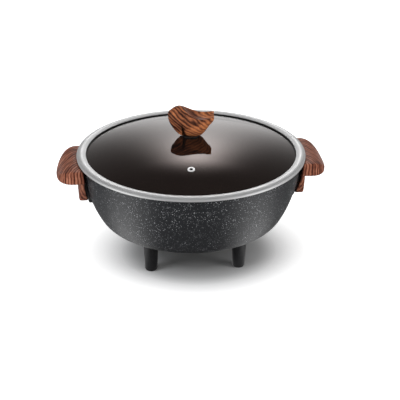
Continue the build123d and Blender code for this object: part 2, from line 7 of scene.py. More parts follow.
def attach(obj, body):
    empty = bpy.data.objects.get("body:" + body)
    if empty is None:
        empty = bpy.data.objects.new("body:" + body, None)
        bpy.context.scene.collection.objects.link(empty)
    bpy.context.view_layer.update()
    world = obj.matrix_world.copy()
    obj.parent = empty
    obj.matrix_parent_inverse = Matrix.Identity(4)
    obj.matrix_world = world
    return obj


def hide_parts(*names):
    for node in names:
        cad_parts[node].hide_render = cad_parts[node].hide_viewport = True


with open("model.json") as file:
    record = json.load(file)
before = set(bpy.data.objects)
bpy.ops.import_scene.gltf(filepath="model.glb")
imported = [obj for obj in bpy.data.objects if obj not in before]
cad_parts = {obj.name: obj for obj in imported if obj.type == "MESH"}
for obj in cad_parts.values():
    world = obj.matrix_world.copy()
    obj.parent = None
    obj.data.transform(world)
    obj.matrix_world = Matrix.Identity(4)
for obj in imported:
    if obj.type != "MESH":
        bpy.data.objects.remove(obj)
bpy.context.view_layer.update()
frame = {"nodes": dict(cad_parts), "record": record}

# Sizes of pieces are in millimetres, as on the drawing, and are turned into metres where a mesh is made.
# A section is a list of (radius, height). Places in finishes, on the floor and for lamps are in metres.
MM = 0.001

# The bowl: radius and height of the ends of its tangent arcs, the slope of the first arc, and its wall
BOWL_ARCS = [(98.0, 44.0), (126.444, 62.032), (136.948, 83.984), (150.0, 142.0)]
BOWL_FIRST_SLOPE = math.radians(5.5)
BOWL_WALL = 3.0
BOWL_FLOOR = 55.5
RIM = 142.0
# The recess underneath and the foot ring, the rounded lip, and the flat floor inside
BOWL_FOOT = [(1.0, 51.0), (60.0, 51.0), (94.4, 51.0), (95.0, 50.4), (95.0, 44.6), (95.6, 44.0), (97.4, 44.0)]
BOWL_LIP = [(149.86, 141.2), (149.6, 141.7), (149.0, RIM), (148.0, RIM), (147.4, 141.7)]
BOWL_INSIDE = [(117.0, BOWL_FLOOR), (60.0, BOWL_FLOOR), (1.0, BOWL_FLOOR)]
# The notch in the foot ring for the inlet, at the back: its middle and its size
NOTCH_PLACE = (0.0, 117.0, 20.0)
NOTCH_SIZE = (52.0, 66.0, 62.0)

# The lid's dome: its radius and the height of its centre, the glass's thickness and edge, and its hole
# for the knob
DOME_RADIUS = 403.505
DOME_CENTRE = -233.790
DOME_STEPS = 48
GLASS = 4.0
GLASS_EDGE = 144.04
KNOB_HOLE = 3.0
LID_TURN = math.radians(-5.0)
# The vent: its distance from the knob, its lean, the glass's hole for it, and its own bore
VENT_REACH = 91.0
VENT_LEAN = math.asin(VENT_REACH / DOME_RADIUS)
VENT_HOLE = 3.15
VENT_BORE = 2.0

# The lid's band: the outer and inner lines of the rolled sheet, then the flange on the bowl's rim, and the
# skirt and its foot inside the bowl's mouth
BAND_OUTER = [(154.5, 142.385), (155.0, 143.485), (154.125, 145.41), (151.875, 146.84), (148.0, 147.5),
              (142.5, 146.015)]
BAND_INNER = [(154.2, 143.3), (153.475, 144.976), (151.35, 146.224), (147.692, 146.8), (142.5, 145.315)]
BAND_SKIRT = [(150.0, 142.7), (144.99, 142.7), (144.99, 137.7), (141.69, 137.7), (141.69, 137.0),
              (145.69, 137.0), (145.69, RIM), (150.0, RIM), (153.8, 142.385), (154.5, 142.385)]

# The seal: how far in it reaches over and under the glass, and its section from underneath, up outside the
# glass's edge, to the lip over it
SEAL_OVER = 141.7
SEAL_UNDER = 143.2
SEAL_OUTSIDE = [(SEAL_OVER, 137.75), (144.83, 137.75), (144.83, 145.28), (142.5, 145.28),
                (SEAL_OVER, 144.515)]

# A leg: its section, bored for its screw from below, and the legs' places
LEG_SECTION = [(4.5, 1.5), (7.6, 1.5), (8.25, 1.75), (8.6, 2.5), (9.4, 22.0), (10.2, 40.5),
               (2.7, 40.5), (2.7, 22.0), (4.5, 22.0), (4.5, 1.5)]
LEG_OFFSET = 59.397
LEG_PLACES = {
    "rear_right": (LEG_OFFSET, LEG_OFFSET), "rear_left": (-LEG_OFFSET, LEG_OFFSET),
    "front_left": (-LEG_OFFSET, -LEG_OFFSET), "front_right": (LEG_OFFSET, -LEG_OFFSET)}

# Points round a large turned piece and round a leg
AROUND = 256
LEG_AROUND = 96
# The angle in degrees from which an edge is shaded sharp, on turned pieces and on copies of solids
TURNED_SHARP = 40
COPY_SHARP = 30
SMOOTH_ALL_OVER = 180

# The photograph looks from this angle to the left of straight ahead
VIEW_TURN = math.radians(-5.2)


def on_dome(radius, thickness=0.0):
    """The radius and height of a point on the dome, or as far below it as the glass is thick."""
    reach = DOME_RADIUS - thickness
    lean = math.asin(radius / DOME_RADIUS)
    return reach * math.sin(lean), DOME_CENTRE + reach * math.cos(lean)


def vent_matrix():
    """The vent's place on the dome, leaning with it."""
    radius, height = on_dome(VENT_REACH)
    return (Matrix.Rotation(LID_TURN, 4, "Z") @ Matrix.Translation((0, -radius * MM, height * MM))
            @ Matrix.Rotation(VENT_LEAN, 4, "X"))


# Modelling

def deselect():
    if bpy.context.mode != "OBJECT":
        bpy.ops.object.mode_set(mode="OBJECT")
    bpy.ops.object.select_all(action="DESELECT")


def select_only(piece):
    deselect()
    piece.select_set(True)
    bpy.context.view_layer.objects.active = piece


def edit(piece):
    select_only(piece)
    bpy.ops.object.mode_set(mode="EDIT")
    bpy.ops.mesh.select_all(action="SELECT")


def settle(piece, name, sharp=COPY_SHARP):
    """Put a piece's place into its mesh, and shade it smooth up to an angle."""
    select_only(piece)
    bpy.ops.object.transform_apply(location=True, rotation=True, scale=True)
    bpy.ops.object.shade_smooth_by_angle(angle=math.radians(sharp))
    piece.name = name
    piece.data.name = name
    return piece


def apply_modifier(piece, kind, **settings):
    select_only(piece)
    modifier = piece.modifiers.new(kind.lower(), kind)
    for setting, value in settings.items():
        setattr(modifier, setting, value)
    bpy.ops.object.modifier_apply(modifier=modifier.name)


def merge_points(distance):
    bpy.ops.mesh.select_all(action="SELECT")
    bpy.ops.mesh.remove_doubles(threshold=distance * MM)
    bpy.ops.mesh.select_all(action="SELECT")


def turned(name, section, around=AROUND, place=(0, 0), sharp=TURNED_SHARP):
    """A turned piece: a ring that is extruded, raised and resized along its section."""
    deselect()
    middle = place[0] * MM, place[1] * MM
    radius, height = section[0]
    bpy.ops.mesh.primitive_circle_add(vertices=around, radius=radius * MM, location=(*middle, height * MM))
    piece = bpy.context.active_object
    edit(piece)
    for (radius, height), (next_radius, next_height) in zip(section, section[1:]):
        rise = (next_height - height) * MM
        bpy.ops.mesh.extrude_edges_move(TRANSFORM_OT_translate={"value": (0, 0, rise)})
        share = next_radius / radius
        bpy.ops.transform.resize(value=(share, share, 1), center_override=(*middle, 0))
    merge_points(distance=0.002)
    bpy.ops.mesh.fill_holes(sides=0)
    bpy.ops.mesh.select_all(action="SELECT")
    bpy.ops.mesh.normals_make_consistent(inside=False)
    return settle(piece, name, sharp)


def tangent_arcs(places, slope, offset=0.0, steps=12):
    """Points along a chain of tangent arcs, moved outwards by offset."""
    points = []
    for (x, y), (next_x, next_y) in zip(places, places[1:]):
        half_turn = math.atan2(next_y - y, next_x - x) - slope
        radius = math.dist((x, y), (next_x, next_y)) / (2 * math.sin(half_turn))
        centre_x = x - math.sin(slope) * radius
        centre_y = y + math.cos(slope) * radius
        reach = radius + offset
        for step in range(steps + 1):
            angle = slope + 2 * half_turn * step / steps
            points.append((centre_x + math.sin(angle) * reach, centre_y - math.cos(angle) * reach))
        slope += 2 * half_turn
    return points


def smooth_line(places, steps=6):
    """Points along a smooth curve through the given places."""
    ends = [places[0]] + places + [places[-1]]
    points = []
    for before, start, end, after in zip(ends, ends[1:], ends[2:], ends[3:]):
        for step in range(steps):
            t = step / steps
            points.append(tuple(
                0.5 * (2 * b + (c - a) * t + (2 * a - 5 * b + 4 * c - d) * t * t
                       + (3 * b - a - 3 * c + d) * t * t * t)
                for a, b, c, d in zip(before, start, end, after)))
    return points + [places[-1]]


def cut(piece, tool):
    """Take the tool's shape out of the piece."""
    apply_modifier(piece, "BOOLEAN", operation="DIFFERENCE", object=tool, solver="EXACT")
    select_only(tool)
    bpy.ops.object.delete()


def finished_copy(node):
    """A smooth copy of a solid, for the piece that stands for it."""
    deselect()
    mesh = frame["nodes"][node].data.copy()
    mesh.materials.clear()
    piece = bpy.data.objects.new(node, mesh)
    bpy.context.scene.collection.objects.link(piece)
    edit(piece)
    merge_points(distance=0.004)
    bpy.ops.mesh.normals_make_consistent(inside=False)
    return settle(piece, node + "_finished")


def give_finish(piece, finish):
    piece.data.materials.clear()
    piece.data.materials.append(finishes[finish])


def fit_piece(piece, body, node, slot, finish=None):
    """Hang a finished piece on its body, in place of the solid that it stands for. Its finish has the slot's
    name, if no other is given."""
    give_finish(piece, finish or slot)
    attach(piece, body)
    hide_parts(node)


# Materials

# A noise stays between these nearly everywhere
NOISE_LOW, NOISE_HIGH = 0.3, 0.7
# The places of the sockets for colours on a mix node
MIX_SHARE, MIX_FIRST, MIX_SECOND, MIX_RESULT = 0, 6, 7, 2
WHITE = (1, 1, 1, 1)


def new_material(name):
    material = bpy.data.materials.new(name)
    material.use_nodes = True
    tree = material.node_tree
    return material, tree, tree.nodes["Principled BSDF"]


def add(tree, kind, inputs=None, **settings):
    """A node with its settings, whose inputs are values or other nodes' outputs."""
    node = tree.nodes.new(kind)
    for setting, value in settings.items():
        setattr(node, setting, value)
    for key, value in (inputs or {}).items():
        feed(tree, value, node.inputs[key])
    return node


def feed(tree, value, socket):
    """Give a socket a plain value, or link it to another node's output."""
    if isinstance(value, bpy.types.NodeSocket):
        tree.links.new(value, socket)
    else:
        socket.default_value = value


def reckon(tree, operation, first, *others):
    """A reckoning with one or two values. Each further value is reckoned with the result so far."""
    node = add(tree, "ShaderNodeMath", dict(enumerate([first, *others[:1]])), operation=operation)
    for value in others[1:]:
        node = add(tree, "ShaderNodeMath", {0: node.outputs[0], 1: value}, operation=operation)
    return node.outputs[0]


def total(tree, *values):
    return reckon(tree, "ADD", *values)


def product(tree, *values):
    return reckon(tree, "MULTIPLY", *values)


def less(tree, first, second):
    return reckon(tree, "SUBTRACT", first, second)


def unsigned(tree, value):
    return reckon(tree, "ABSOLUTE", value)


def ramp(tree, value, stops):
    """A colour ramp with stops of (position, colour)."""
    node = add(tree, "ShaderNodeValToRGB", {"Fac": value})
    points = node.color_ramp.elements
    while len(points) < len(stops):
        points.new(0.5)
    for point, (position, colour) in zip(points, stops):
        point.position = position
        point.color = (*colour, 1)
    return node.outputs["Color"]


def spread(tree, value, low, high, low_to=0.0, high_to=1.0, smooth=False):
    """Carry a value from the range low to high over to another range, and hold it there."""
    return add(tree, "ShaderNodeMapRange", {
        "Value": value, "From Min": low, "From Max": high, "To Min": low_to, "To Max": high_to},
        interpolation_type="SMOOTHSTEP" if smooth else "LINEAR").outputs["Result"]


def spread_noise(tree, value, low_to, high_to):
    return spread(tree, value, NOISE_LOW, NOISE_HIGH, low_to, high_to)


def mix(tree, share, first, second):
    return add(tree, "ShaderNodeMix", {MIX_SHARE: share, MIX_FIRST: first, MIX_SECOND: second},
               data_type="RGBA").outputs[MIX_RESULT]


def place_of(tree):
    return add(tree, "ShaderNodeTexCoord").outputs["Object"]


def axes(tree, vector):
    """The three coordinates of a vector."""
    return list(add(tree, "ShaderNodeSeparateXYZ", {"Vector": vector}).outputs)


def join(tree, x, y, z=0.0):
    return add(tree, "ShaderNodeCombineXYZ", {"X": x, "Y": y, "Z": z}).outputs["Vector"]


def moved(tree, vector, kind="POINT", **settings):
    """A vector through a Mapping node with the given Location, Rotation or Scale."""
    return add(tree, "ShaderNodeMapping", {"Vector": vector, **settings}, vector_type=kind).outputs["Vector"]


def length(tree, vector):
    return add(tree, "ShaderNodeVectorMath", {0: vector}, operation="LENGTH").outputs["Value"]


def noise(tree, vector, scale, detail=3.0, roughness=0.5):
    return add(tree, "ShaderNodeTexNoise", {
        "Vector": vector, "Scale": scale, "Detail": detail, "Roughness": roughness}).outputs["Fac"]


def dent(tree, shader, height, strength, distance=0.0002):
    bump = add(tree, "ShaderNodeBump", {"Strength": strength, "Distance": distance, "Height": height})
    feed(tree, bump.outputs["Normal"], shader.inputs["Normal"])


def new_group(name, inputs, outputs):
    """A node group with named inputs (name, kind, default) and named outputs, which are all single values."""
    group = bpy.data.node_groups.new(name, "ShaderNodeTree")
    for label, kind, default in inputs:
        socket = group.interface.new_socket(label, in_out="INPUT", socket_type=kind)
        if default is not None:
            socket.default_value = default
    for label in outputs:
        group.interface.new_socket(label, in_out="OUTPUT", socket_type="NodeSocketFloat")
    return group, group.nodes.new("NodeGroupInput"), group.nodes.new("NodeGroupOutput")


def use_group(tree, group, **inputs):
    node = add(tree, "ShaderNodeGroup", node_tree=group)
    for label, value in inputs.items():
        feed(tree, value, node.inputs[label.replace("_", " ")])
    return node


# Wood: how the growth rings bend and break up, and where a pore begins and ends in its noise
BEND_SCALE = 26.0
BEND_REACH = 0.004
RING_BREAKS = {"Distortion": 3.2, "Detail": 3.0, "Detail Scale": 1.1, "Detail Roughness": 0.65}
PORE_SCALE = 1900.0
PORE_RANGE = (0.60, 0.72)
# The broad figure's rings and wander beside the fine one's, and how much each part changes the wood's shade
BROAD_RINGS, BROAD_WANDER = 0.37, 1.6
RINGS_SHARE, BROAD_SHARE, FIBRES_SHARE, PATCH_SHARE = 0.40, 0.18, 0.42, 0.12
FIBRE_RANGE = (0.25, 0.75)
PATCH_SCALE = 55.0
PORE_SHARE = 0.5
PORE_BROWN = (0.012, 0.006, 0.004, 1)
# The dark brown of the painted shade in the knob's crease
CREASE_SHADE_BROWN = (0.010, 0.005, 0.003, 1)


def make_grain_group(name, wave_type):
    """Wood grain: growth rings that wander, fine fibres along them, and dark pores."""
    group, given, out = new_group(
        name,
        [("Vector", "NodeSocketVector", None), ("Ring Scale", "NodeSocketFloat", 60.0),
         ("Wander", "NodeSocketFloat", 3.0), ("Fibre Scale", "NodeSocketFloat", 900.0),
         ("Fibre Stretch", "NodeSocketVector", (1.0, 0.1, 0.1))],
        ["Rings", "Fibres", "Pores", "Height"])
    vector = given.outputs["Vector"]
    bend = add(group, "ShaderNodeTexNoise", {
        "Vector": vector, "Scale": BEND_SCALE, "Detail": 2.0, "Roughness": 0.5}).outputs["Color"]
    bend = add(group, "ShaderNodeVectorMath", {0: bend, 1: (0.5, 0.5, 0.5)}, operation="SUBTRACT").outputs[0]
    bend = add(group, "ShaderNodeVectorMath", {
        0: bend, "Scale": product(group, given.outputs["Wander"], BEND_REACH)}, operation="SCALE").outputs[0]
    bent = add(group, "ShaderNodeVectorMath", {0: vector, 1: bend}, operation="ADD").outputs[0]
    rings = add(group, "ShaderNodeTexWave", {
        "Vector": bent, "Scale": given.outputs["Ring Scale"], **RING_BREAKS}, wave_type=wave_type,
        bands_direction="X", rings_direction="Z", wave_profile="SIN").outputs["Fac"]
    along = moved(group, bent, Scale=given.outputs["Fibre Stretch"])
    fibres = noise(group, along, given.outputs["Fibre Scale"], detail=4.0, roughness=0.65)
    pores = spread(group, noise(group, along, PORE_SCALE, detail=2.0), *PORE_RANGE)
    results = {"Rings": rings, "Fibres": fibres, "Pores": pores, "Height": less(group, fibres, pores)}
    for label, result in results.items():
        feed(group, result, out.inputs[label])
    return group


def wood(name, grain, place, ring_scale, wander, stretch, colours, warm=None, crease_shade=None):
    """A wood-look finish: place gives the vector that the grain is laid along, warm the mask of a paler
    patch, and the last argument the mask of painted shade along a crease."""
    material, tree, shader = new_material(name)
    vector = place(tree)
    fine = use_group(tree, grain, Vector=vector, Ring_Scale=ring_scale, Wander=wander, Fibre_Stretch=stretch)
    broad = use_group(tree, grain, Vector=vector, Ring_Scale=ring_scale * BROAD_RINGS,
                      Wander=wander * BROAD_WANDER, Fibre_Stretch=stretch)
    fibres = fine.outputs["Fibres"]
    parts = [
        product(tree, fine.outputs["Rings"], RINGS_SHARE),
        product(tree, broad.outputs["Rings"], BROAD_SHARE),
        product(tree, spread(tree, fibres, *FIBRE_RANGE), FIBRES_SHARE),
        spread_noise(tree, noise(tree, place_of(tree), PATCH_SCALE), -PATCH_SHARE, PATCH_SHARE)]
    if warm:
        parts.append(warm(tree))
    colour = ramp(tree, total(tree, *parts), colours)
    colour = mix(tree, product(tree, fine.outputs["Pores"], PORE_SHARE), colour, PORE_BROWN)
    # Painted shade along the crease, where there is one
    if crease_shade:
        colour = mix(tree, crease_shade(tree), colour, CREASE_SHADE_BROWN)
    feed(tree, colour, shader.inputs["Base Color"])
    feed(tree, spread_noise(tree, fibres, 0.36, 0.50), shader.inputs["Roughness"])
    dent(tree, shader, fine.outputs["Height"], strength=0.25, distance=0.0004)
    shader.inputs["Specular IOR Level"].default_value = 0.08
    return material


def handle_grain_place(tree):
    """Both handles are cut alike: rings stand upright round an axis near each ear's front inner corner,
    and are drawn out to the back and upwards."""
    x, y, z = axes(tree, place_of(tree))
    axis_aside, axis_ahead = 0.126, 0.056
    drawn_back, drawn_up = 0.80, 0.5
    return join(tree, less(tree, unsigned(tree, x), axis_aside),
                product(tree, total(tree, y, axis_ahead), drawn_back), product(tree, z, drawn_up))


def knob_grain_place(tree):
    """The knob's grain slopes down towards its thin tip."""
    return moved(tree, place_of(tree), Rotation=[math.radians(turn) for turn in (-10, 48, -25)])


def knob_warm_patch(tree):
    """A paler patch low down towards the tip: it begins along a line that rises half as fast as it runs."""
    x, _, z = axes(tree, place_of(tree))
    slant = less(tree, product(tree, x, 0.5), z)
    return spread(tree, slant, -0.190, -0.182, low_to=-0.05, high_to=0.30, smooth=True)


def knob_crease_shade(tree):
    """Painted shade along the crease, which leans from the knob's foot up towards its blunt end."""
    foot, top = 0.1709, 0.1892
    x, _, z = axes(tree, moved(tree, place_of(tree), Rotation=(0, 0, -LID_TURN)))
    line = spread(tree, z, foot, top, low_to=-0.0083, high_to=-0.0123)
    width = spread(tree, z, foot, top, low_to=0.0034, high_to=0.0010)
    off = reckon(tree, "DIVIDE", unsigned(tree, less(tree, x, line)), width)
    beside = spread(tree, off, 0.4, 1.4, low_to=0.9, high_to=0.0, smooth=True)
    return product(tree, beside, spread(tree, z, 0.186, 0.192, low_to=1.0, high_to=0.0))


# The coating's flecks, from coarse to fine: cells in a metre, the share of cells left bare, and the size of
# a fleck in its cell. Flecks stand out a little from the coating's own grain.
FLECKS = [(210.0, 0.74, 0.16), (360.0, 0.76, 0.22), (640.0, 0.80, 0.30), (1000.0, 0.86, 0.36)]
FLECK_GREY = (0.86, 0.87, 0.90, 1)
FLECK_HEIGHT = 0.6


def make_granite():
    """Charcoal non-stick coating: fine grain, with pale flecks of mixed sizes."""
    material, tree, shader = new_material("granite_coating")
    place = place_of(tree)
    cloud = noise(tree, place, 30.0)
    fine = noise(tree, place, 700.0, roughness=0.75)
    charcoal = ramp(tree, fine, [(NOISE_LOW, (0.006, 0.0065, 0.0075)), (NOISE_HIGH, (0.021, 0.0225, 0.026))])
    layers = []
    for scale, bare, size in FLECKS:
        cells = add(tree, "ShaderNodeTexVoronoi", {"Vector": place, "Scale": scale, "Randomness": 1.0})
        chances = add(tree, "ShaderNodeSeparateColor", {"Color": cells.outputs["Color"]}).outputs
        chosen = reckon(tree, "GREATER_THAN", chances[0], bare)
        near = spread(tree, cells.outputs["Distance"], size * 0.5, size, low_to=1.0, high_to=0.0)
        pale = spread(tree, chances[1], 0.0, 1.0, low_to=0.35)
        layers.append(product(tree, chosen, near, pale))
    flecks = reckon(tree, "MAXIMUM", *layers)
    mask = product(tree, flecks, spread(tree, cloud, 0.40, 0.60, low_to=0.45))
    feed(tree, mix(tree, mask, charcoal, FLECK_GREY), shader.inputs["Base Color"])
    feed(tree, spread_noise(tree, fine, 0.32, 0.46), shader.inputs["Roughness"])
    shader.inputs["Specular IOR Level"].default_value = 0.42
    height = total(tree, fine, product(tree, mask, FLECK_HEIGHT))
    dent(tree, shader, height, strength=0.35, distance=0.0003)
    return material


def make_band_steel():
    """Satin steel, brushed round the lid's rim."""
    material, tree, shader = new_material("brushed_band")
    x, y, z = axes(tree, place_of(tree))
    lines_per_metre, lines_around = 3000.0, 5.0
    reach = reckon(tree, "SQRT", total(tree, product(tree, x, x), product(tree, y, y)))
    brushed_place = join(tree, product(tree, reach, lines_per_metre),
                         product(tree, reckon(tree, "ARCTAN2", y, x), lines_around),
                         product(tree, z, lines_per_metre))
    brushing = noise(tree, brushed_place, 1.0, roughness=0.6)
    smudge = noise(tree, place_of(tree), 30.0, detail=2.0)
    colour = ramp(tree, brushing, [(NOISE_LOW, (0.60, 0.60, 0.60)), (NOISE_HIGH, (0.72, 0.72, 0.72))])
    rough = total(tree, spread_noise(tree, brushing, 0.42, 0.54), spread_noise(tree, smudge, -0.03, 0.03))
    feed(tree, colour, shader.inputs["Base Color"])
    feed(tree, rough, shader.inputs["Roughness"])
    dent(tree, shader, brushing, strength=0.12)
    shader.inputs["Metallic"].default_value = 0.72
    return material


def make_eyelet_steel():
    """Bright steel round the vent, with painted shade in its bore."""
    material = plain_finish(
        "eyelet_steel", (0.82, 0.82, 0.82), (0.92, 0.92, 0.92), 0.35, metallic=0.5, bump=0.05)
    tree = material.node_tree
    colour = tree.nodes["Principled BSDF"].inputs["Base Color"]
    steel = colour.links[0].from_socket
    matrix = vent_matrix()
    place = moved(tree, place_of(tree), "TEXTURE", Location=matrix.translation, Rotation=matrix.to_euler())
    x, y, _ = axes(tree, place)
    # The bore is painted nearly black: painted shade for the depth of the hole
    bore_ends, steel_begins = (VENT_BORE + 0.2) * MM, (VENT_BORE + 0.5) * MM
    bore_shade = spread(tree, length(tree, join(tree, x, y)), bore_ends, steel_begins, low_to=1.0, high_to=0.0)
    feed(tree, mix(tree, bore_shade, steel, (0.004, 0.004, 0.004, 1)), colour)
    return material


def make_smoky_glass():
    """Smoke-brown glass: clear enough to show the wall below, dark enough to mirror the knob."""
    material, tree, shader = new_material("smoky_glass")
    haze = noise(tree, place_of(tree), 9.0, detail=2.0)
    smoke = ramp(tree, haze, [(NOISE_LOW, (0.050, 0.034, 0.029)), (NOISE_HIGH, (0.064, 0.045, 0.039))])
    feed(tree, smoke, shader.inputs["Base Color"])
    feed(tree, spread_noise(tree, haze, 0.035, 0.055), shader.inputs["Roughness"])
    shader.inputs["Transmission Weight"].default_value = 0.85
    shader.inputs["IOR"].default_value = 1.5
    shader.inputs["Specular Tint"].default_value = (1.0, 0.76, 0.69, 1)
    return material


def plain_finish(name, dark, light, roughness, metallic=0.0, scale=500.0, bump=0.15, gloss=0.5):
    """A moulded, cast or plated finish with fine variation in colour and roughness."""
    material, tree, shader = new_material(name)
    grain = noise(tree, place_of(tree), scale)
    feed(tree, ramp(tree, grain, [(NOISE_LOW, dark), (NOISE_HIGH, light)]), shader.inputs["Base Color"])
    feed(tree, spread_noise(tree, grain, roughness * 0.85, roughness * 1.15), shader.inputs["Roughness"])
    dent(tree, shader, grain, strength=bump)
    shader.inputs["Metallic"].default_value = metallic
    shader.inputs["Specular IOR Level"].default_value = gloss
    return material


finishes = {
    "bowl_coating": make_granite(),
    "band_steel": make_band_steel(),
    "eyelet_steel": make_eyelet_steel(),
    "smoky_glass": make_smoky_glass(),
    "handle_wood": wood(
        "handle_wood", make_grain_group("ring_grain", "RINGS"), handle_grain_place,
        ring_scale=76.0, wander=3.6, stretch=(1.0, 1.0, 0.08),
        colours=[(0.20, (0.048, 0.014, 0.009)), (0.42, (0.150, 0.046, 0.027)),
                 (0.60, (0.290, 0.100, 0.058)), (0.82, (0.490, 0.200, 0.122))]),
    "knob_wood": wood(
        "knob_wood", make_grain_group("band_grain", "BANDS"), knob_grain_place,
        ring_scale=78.0, wander=4.5, stretch=(1.0, 0.10, 0.10),
        colours=[(0.16, (0.030, 0.012, 0.008)), (0.38, (0.130, 0.046, 0.025)),
                 (0.60, (0.320, 0.110, 0.050)), (0.92, (0.640, 0.225, 0.085))],
        warm=knob_warm_patch, crease_shade=knob_crease_shade),
}
# The plain finishes: the slot, the name, the dark and the light colour, the roughness, and what differs from
# the usual scale, bump, gloss and metal
for slot, name, dark, light, roughness, others in (
        ("seal_black", "black_silicone", (0.008, 0.008, 0.008), (0.016, 0.016, 0.016), 0.30, {}),
        ("leg_black", "glossy_leg", (0.011, 0.011, 0.012), (0.018, 0.018, 0.019), 0.36,
         {"bump": 0.03, "gloss": 0.22}),
        ("pad_rubber", "foot_rubber", (0.010, 0.010, 0.010), (0.022, 0.022, 0.022), 0.75, {}),
        ("bracket_black", "bracket_casting", (0.010, 0.010, 0.010), (0.020, 0.020, 0.021), 0.50,
         {"scale": 900.0}),
        ("rivet_aluminium", "rivet_satin", (0.30, 0.30, 0.31), (0.42, 0.42, 0.43), 0.35, {"metallic": 1.0}),
        ("zinc_steel", "plated_steel", (0.80, 0.80, 0.81), (0.90, 0.90, 0.91), 0.40,
         {"metallic": 1.0, "bump": 0.05}),
        ("plain_aluminium", "rolled_aluminium", (0.60, 0.60, 0.61), (0.72, 0.72, 0.73), 0.35,
         {"metallic": 1.0}),
        ("element_sheath", "element_sheath", (0.09, 0.08, 0.08), (0.16, 0.14, 0.13), 0.45,
         {"metallic": 1.0}),
        ("bush_ceramic", "white_ceramic", (0.72, 0.70, 0.64), (0.80, 0.78, 0.72), 0.60, {}),
        ("guard_plastic", "guard_plastic", (0.010, 0.010, 0.010), (0.020, 0.020, 0.020), 0.45,
         {"scale": 1200.0}),
        ("cover_paint", "cover_paint", (0.012, 0.012, 0.013), (0.024, 0.024, 0.025), 0.40,
         {"scale": 800.0}),
        ("insert_brass", "plain_brass", (0.50, 0.36, 0.14), (0.60, 0.45, 0.20), 0.35, {"metallic": 1.0})):
    finishes[slot] = plain_finish(name, dark, light, roughness, **others)


# Pieces

def make_bowl():
    """The bowl, turned from its section, with a notch for the inlet."""
    outside = tangent_arcs(BOWL_ARCS, BOWL_FIRST_SLOPE)[:-1]
    inside = [point for point in tangent_arcs(BOWL_ARCS, BOWL_FIRST_SLOPE, -BOWL_WALL)
              if point[1] > BOWL_FLOOR][:-1]
    bowl = turned("bowl", BOWL_FOOT + outside + BOWL_LIP + inside[::-1] + BOWL_INSIDE)
    deselect()
    bpy.ops.mesh.primitive_cube_add(
        size=1, location=[place * MM for place in NOTCH_PLACE], scale=[size * MM for size in NOTCH_SIZE])
    cut(bowl, bpy.context.active_object)
    return settle(bowl, "bowl", TURNED_SHARP)


def make_band():
    """The lid's steel band: a sheet rolled over the rim, with a skirt and a foot inside the bowl's mouth."""
    return turned("lid_band_rolled", smooth_line(BAND_OUTER) + smooth_line(BAND_INNER)[::-1] + BAND_SKIRT)


def make_dome():
    """The glass dome, bored for the knob's screw and for the vent."""
    radii = [KNOB_HOLE + (GLASS_EDGE - KNOB_HOLE) * step / DOME_STEPS for step in range(DOME_STEPS + 1)]
    outer = [on_dome(radius) for radius in radii]
    inner = [on_dome(radius, GLASS) for radius in reversed(radii)]
    dome = turned("glass_dome", outer + inner + outer[:1])
    deselect()
    bpy.ops.mesh.primitive_cylinder_add(
        vertices=48, radius=VENT_HOLE * MM, depth=20 * MM, location=vent_matrix().translation,
        rotation=vent_matrix().to_euler())
    cut(dome, bpy.context.active_object)
    return settle(dome, "glass_dome", TURNED_SHARP)


def make_seal():
    """The black seal round the glass's edge, which shows as a thin line inside the band."""
    over = [on_dome(SEAL_OVER), on_dome(GLASS_EDGE)]
    under = [on_dome(GLASS_EDGE, GLASS), on_dome(SEAL_UNDER, GLASS)]
    return turned("glass_seal", SEAL_OUTSIDE + over + under + SEAL_OUTSIDE[:1], sharp=30)


def make_soft_carving(node, voxel, passes):
    """A carved piece with worn edges, from its solid: remeshed finely, then smoothed."""
    piece = finished_copy(node)
    apply_modifier(piece, "REMESH", mode="VOXEL", voxel_size=voxel * MM)
    apply_modifier(piece, "SMOOTH", factor=0.5, iterations=passes)
    return settle(piece, node + "_carved", SMOOTH_ALL_OVER)


fit_piece(make_bowl(), "pot", "pot_bowl", "bowl_coating")
fit_piece(make_band(), "lid", "lid_band", "band_steel")
fit_piece(make_dome(), "lid", "lid_glass", "smoky_glass")
fit_piece(make_seal(), "lid", "lid_seal", "seal_black")
for corner, place in LEG_PLACES.items():
    leg = turned(f"leg_{corner}_turned", LEG_SECTION, LEG_AROUND, place, sharp=35)
    fit_piece(leg, "pot", f"leg_{corner}", "leg_black")
for node in ("handle_right", "handle_left"):
    fit_piece(make_soft_carving(node, voxel=0.8, passes=26), "pot", node, "handle_wood")
fit_piece(make_soft_carving("lid_knob", voxel=0.5, passes=6), "lid", "lid_knob", "knob_wood")

# The smaller solids that get smooth copies in their places. Every solid gets its own finish too.
SMOOTH_NODES = [
    "divider_wall", "base_cover", "inlet_guard", "terminal_pins", "terminal_bushes", "probe_guide",
    "bracket_rivets", "handle_screws", "leg_screws", "base_cover_screw", "handle_bracket_right",
    "handle_bracket_left", "vent_eyelet", "knob_pad", "foot_pad_rear_right", "foot_pad_rear_left",
    "foot_pad_front_left", "foot_pad_front_right"]
slots = {part["node"]: part["material_slot"] for part in frame["record"]["subparts"]}
for body, members in frame["record"]["behaviour"]["bodies"].items():
    for node in members:
        finish = "eyelet_steel" if node == "vent_eyelet" else slots[node]
        if node in SMOOTH_NODES:
            fit_piece(finished_copy(node), body, node, slots[node], finish)
        give_finish(frame["nodes"][node], finish)


# Stage, light and camera

